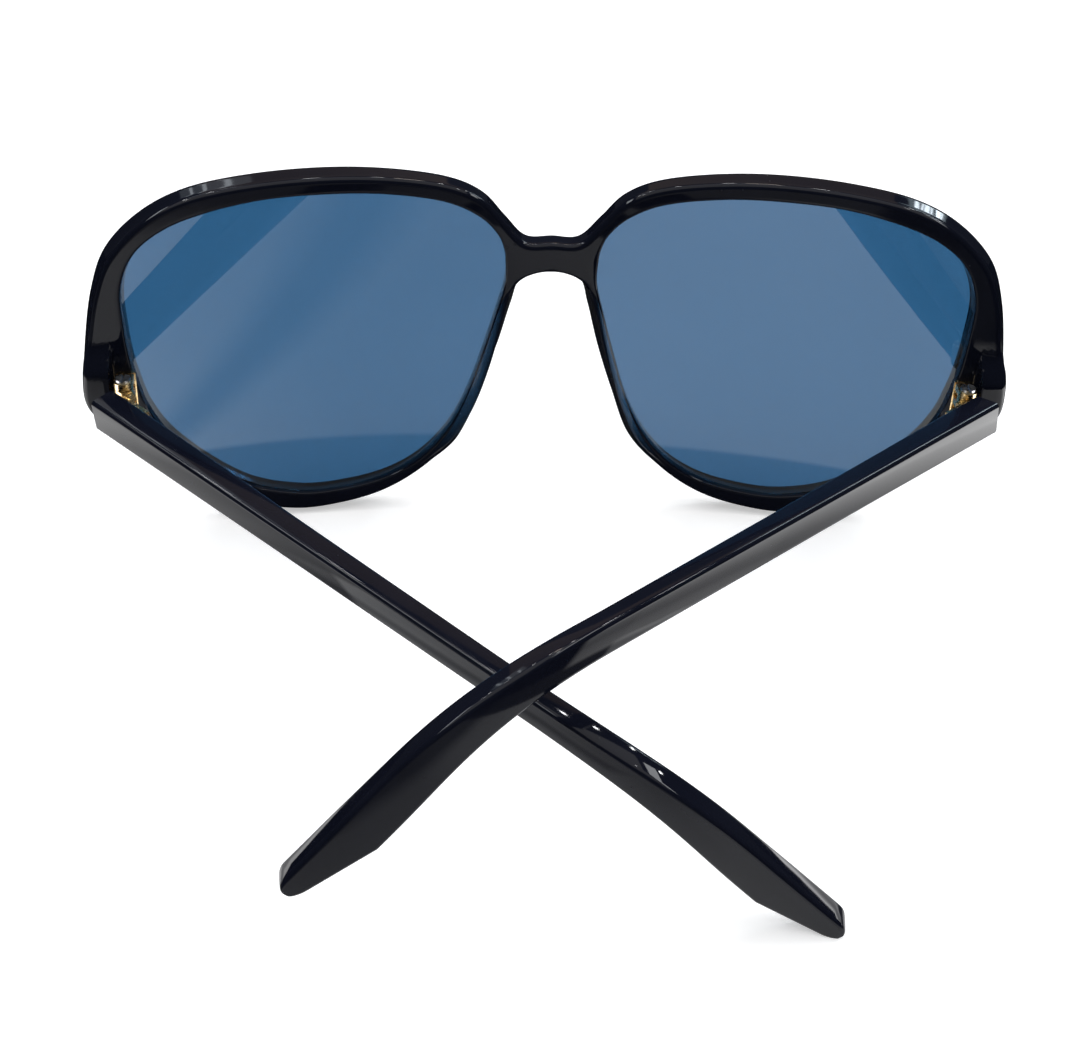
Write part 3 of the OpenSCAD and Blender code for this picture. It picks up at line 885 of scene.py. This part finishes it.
def painted_table_reflection(tree, coords):
    """The painted reflection on the table: its painted shade, and that shade with the painted glow beside
    the hinges added.
    """
    def op(operation, *values):
        return math_node(tree, operation, *values)

    def times(a, b):
        return op("MULTIPLY", a, b)

    def fade(value, steps):
        return fades(tree, value, steps)

    place = tree.nodes.new("ShaderNodeSeparateXYZ")
    tree.links.new(coords, place.inputs[0])
    x, y = place.outputs["X"], place.outputs["Y"]
    # Painted glow beside the hinges, which the temples mirror
    glow = op("ADD", times(fade(x, RIGHT_PAINTED_GLOW_X), fade(y, RIGHT_PAINTED_GLOW_Y)),
              times(fade(x, LEFT_PAINTED_GLOW_X), fade(y, LEFT_PAINTED_GLOW_Y)))
    # A soft painted shadow line across the left, and a painted dark corner at the right
    to_painted_line = op("ADD", op("ADD", times(x, PAINTED_LINE_SLOPES[0]), times(y, PAINTED_LINE_SLOPES[1])), PAINTED_LINE_OFFSET)
    line = op("MAXIMUM", fade(op("ABSOLUTE", to_painted_line), OFF_PAINTED_LINE), fade(x, PAINTED_LINE_END_X))
    corner = op("MAXIMUM", fade(x, PAINTED_CORNER_SHADE_X), fade(y, PAINTED_CORNER_SHADE_Y))
    # Painted shade before the rims, far back and towards the sides
    painted_shade_by_depth = times(fade(y, PAINTED_RIM_SHADOW_Y), fade(y, PAINTED_FAR_SHADE_Y))
    ends = times(corner, fade(op("ABSOLUTE", x), PAINTED_SIDE_SHADE_X))
    painted_shade = times(times(painted_shade_by_depth, ends), times(fade(x, PAINTED_SHADE_ACROSS_X), line))
    return painted_shade, op("ADD", painted_shade, glow)


def table_with_painted_reflection():
    """White to the eye, with the painted shade and painted glow in what mirrors the table."""
    look, tree, shader, coords = new_material("table_white_painted_reflection")
    tree.nodes.remove(shader)
    rays = tree.nodes.new("ShaderNodeLightPath").outputs
    painted_shade, painted_shade_and_glow = painted_table_reflection(tree, coords)
    # Reflections alone see the painted shade and the painted glow
    bounced = math_node(tree, "SUBTRACT", rays["Is Glossy Ray"], rays["Is Transmission Ray"])
    shine = math_node(tree, "MULTIPLY", bounced, math_node(tree, "MULTIPLY", painted_shade_and_glow, PAINTED_REFLECTION_SHARE))
    reach = add_node(tree, "ShaderNodeVectorMath", operation="LENGTH")
    tree.links.new(coords, reach.inputs[0])
    seen = fades(tree, reach.outputs["Value"], OWN_LIGHT)
    shine = math_node(tree, "MULTIPLY_ADD", rays["Is Camera Ray"], seen, shine)
    shine = math_node(tree, "MULTIPLY_ADD", rays["Is Transmission Ray"], seen, shine)
    # The painted shade also darkens the table's diffuse white in reflections
    painted_shade_amount = math_node(tree, "SUBTRACT", 1.0, painted_shade)
    painted_shade_in_reflections = math_node(tree, "MULTIPLY", math_node(tree, "MAXIMUM", bounced, 0.0), painted_shade_amount)
    white_with_painted_shade = math_node(tree, "MULTIPLY", math_node(tree, "SUBTRACT", 1.0, painted_shade_in_reflections), TABLE_WHITE)
    diffuse = tree.nodes.new("ShaderNodeBsdfDiffuse")
    tree.links.new(white_with_painted_shade, diffuse.inputs["Color"])
    glow = add_node(tree, "ShaderNodeEmission", Color=(1, 1, 1, 1))
    tree.links.new(shine, glow.inputs["Strength"])
    both = tree.nodes.new("ShaderNodeAddShader")
    tree.links.new(diffuse.outputs[0], both.inputs[0])
    tree.links.new(glow.outputs[0], both.inputs[1])
    tree.links.new(both.outputs[0], tree.nodes["Material Output"].inputs["Surface"])
    return look


def table_top():
    """A plain square just under the object."""
    corners = [(x * TABLE_HALF, y * TABLE_HALF, -TABLE_DROP)
               for x, y in ((-1, -1), (1, -1), (1, 1), (-1, 1))]
    mesh = bpy.data.meshes.new("table_top")
    mesh.from_pydata(corners, [], [(0, 1, 2, 3)])
    mesh.materials.append(table_with_painted_reflection())
    obj = bpy.data.objects.new("table_top", mesh)
    bpy.context.scene.collection.objects.link(obj)
    return obj


table = table_top()

# The room is dim to the object and in its reflections, and white to the eye and through the lenses
ROOM_COLOUR = (0.8, 0.88, 1, 1)
ROOM_STRENGTH = 0.06


def room():
    world = bpy.data.worlds.new("studio")
    bpy.context.scene.world = world
    world.use_nodes = True
    tree = world.node_tree
    sky = tree.nodes["Background"]
    sky.inputs["Color"].default_value = ROOM_COLOUR
    sky.inputs["Strength"].default_value = ROOM_STRENGTH
    rays = tree.nodes.new("ShaderNodeLightPath").outputs
    plain = add_node(tree, "ShaderNodeBackground", Color=(1, 1, 1, 1), Strength=1.0)
    choice = tree.nodes.new("ShaderNodeMixShader")
    by_eye = math_node(tree, "MAXIMUM", rays["Is Camera Ray"], rays["Is Transmission Ray"])
    tree.links.new(by_eye, choice.inputs[0])
    tree.links.new(sky.outputs[0], choice.inputs[1])
    tree.links.new(plain.outputs[0], choice.inputs[2])
    tree.links.new(choice.outputs[0], tree.nodes["World Output"].inputs["Surface"])


room()


# Lamps: places and sizes in metres, power in watts
def lamp(name, place, aim, size, power, colour):
    """A rectangular lamp at a place, turned to what it aims at."""
    data = bpy.data.lights.new(name, "AREA")
    data.shape = "RECTANGLE"
    data.size, data.size_y = size
    data.energy = power
    data.color = colour
    obj = bpy.data.objects.new(name, data)
    obj.location = place
    obj.rotation_euler = (Vector(aim) - Vector(place)).to_track_quat("-Z", "Y").to_euler()
    bpy.context.scene.collection.objects.link(obj)


RIMS_Y = 0.045
RIMS_Z = 0.06


def at_rims(x):
    """A place at the rims' upper edge, x to the right of their middle."""
    return (x, RIMS_Y, RIMS_Z)


TABLE_MIDDLE = (0, 0, 0)
LAMPS = (
    ("soft_above", (0.0, -0.1, 1.1), TABLE_MIDDLE, (1.5, 1.3), 8.2, (1, 0.98, 0.96)),
    ("strip_left", (-0.68, 0.05, 0.8), TABLE_MIDDLE, (0.6, 0.12), 2.6, (0.9, 0.95, 1)),
    ("strip_right", (0.68, 0.05, 0.8), TABLE_MIDDLE, (0.6, 0.12), 2.6, (0.95, 0.97, 1)),
    ("warm_back", (0.05, 1.0, 0.82), at_rims(0), (1.1, 0.55), 0.7, (1, 0.74, 0.54)),
    ("haze_left", (-0.41, 0.70, 0.85), at_rims(-0.05), (0.3, 0.25), 0.25, (0.8, 0.9, 1)),
    ("haze_right", (0.68, 0.68, 0.66), at_rims(0.06), (0.34, 0.26), 0.9, (0.72, 0.9, 1)))
for described in LAMPS:
    lamp(*described)

# Streaks that the temples mirror. The left ones are alike and stand in a row
STREAKS_LEFT = 3
LEFT_START = Vector((-0.325, 0.74, 0.87))
LEFT_STEP = Vector((-0.085, -0.02, -0.025))
LEFT_SIZE = (0.02, 0.2)
LEFT_POWER = 0.08
LEFT_COLOUR = (0.85, 0.93, 1)
for k in range(STREAKS_LEFT):
    place = LEFT_START + LEFT_STEP * k
    lamp("streak_left_%d" % k, place, at_rims(-0.05), LEFT_SIZE, LEFT_POWER, LEFT_COLOUR)

# The right ones vary: each one's distance along the row, width, length and power
RIGHT_START = Vector((0.65, 0.715, 0.785))
RIGHT_WAY = Vector((1, -1 / 9, -1))
RIGHT_COLOUR = (0.82, 0.92, 1)
STREAKS_RIGHT = ((0.0, 0.034, 0.05, 0.16), (0.036, 0.012, 0.17, 0.17), (0.068, 0.026, 0.09, 0.22),
                 (0.1, 0.009, 0.19, 0.16), (0.145, 0.03, 0.05, 0.16), (0.175, 0.01, 0.11, 0.1))
for k, (distance, width, length, power) in enumerate(STREAKS_RIGHT):
    place = RIGHT_START + RIGHT_WAY * distance
    lamp("streak_right_%d" % k, place, at_rims(0.055), (width, length), power, RIGHT_COLOUR)

# Small square lamps that leave dots of light on the rims
SPOT_SIZE = (0.035, 0.035)
SPOT_POWER = 0.35
SPOT_COLOUR = (0.97, 0.98, 1)
SPOTS = ((-0.38, 0.54, 0.98), (-0.55, 0.49, 0.93), (-0.12, 0.6, 1.0), (0.06, 0.62, 1.0), (0.30, 0.6, 0.95),
         (0.6, 0.55, 0.88), (0.8, 0.38, 0.78), (-0.5, 0.2, 1.0), (0.5, 0.1, 1.0))
for k, place in enumerate(SPOTS):
    lamp("spot_%d" % k, place, TABLE_MIDDLE, SPOT_SIZE, SPOT_POWER, SPOT_COLOUR)
lamp("warm_spot", (0.16, 0.6, 1.0), TABLE_MIDDLE, (0.1, 0.035), 0.6, (1, 0.88, 0.78))

# Camera, solved from the outlines of the photograph: angles, distance in metres, aim in millimetres
# from the leaning front's own origin, and focal length in pixels
AZIMUTH = math.radians(4.0)
ELEVATION = math.radians(39.46)
ROLL = math.radians(2.95)
DISTANCE = 0.31566
AIM_X = -0.026
AIM_Y = 0.0997
AIM_Z = -4.9135
FOCAL_PIXELS = 1816.8
IMAGE_PIXELS = 1080
SENSOR = 36.0


def photo_camera():
    aim = Vector((AIM_X * MM, (shift[Y] + AIM_Y) * MM, (shift[Z] + AIM_Z) * MM))
    ahead = Vector((math.sin(AZIMUTH) * math.cos(ELEVATION), math.cos(AZIMUTH) * math.cos(ELEVATION),
                    -math.sin(ELEVATION)))
    level = Vector((math.cos(AZIMUTH), -math.sin(AZIMUTH), 0))
    above = level.cross(ahead)
    right = math.cos(ROLL) * level + math.sin(ROLL) * above
    up = -math.sin(ROLL) * level + math.cos(ROLL) * above
    data = bpy.data.cameras.new("view")
    data.sensor_width = SENSOR
    data.lens = FOCAL_PIXELS * SENSOR / IMAGE_PIXELS
    camera = bpy.data.objects.new("view", data)
    placed = Matrix((right, up, -ahead)).transposed().to_4x4()
    placed.translation = aim - ahead * DISTANCE
    camera.matrix_world = placed
    bpy.context.scene.collection.objects.link(camera)
    bpy.context.scene.camera = camera


photo_camera()
bpy.context.scene.view_settings.view_transform = "Standard"
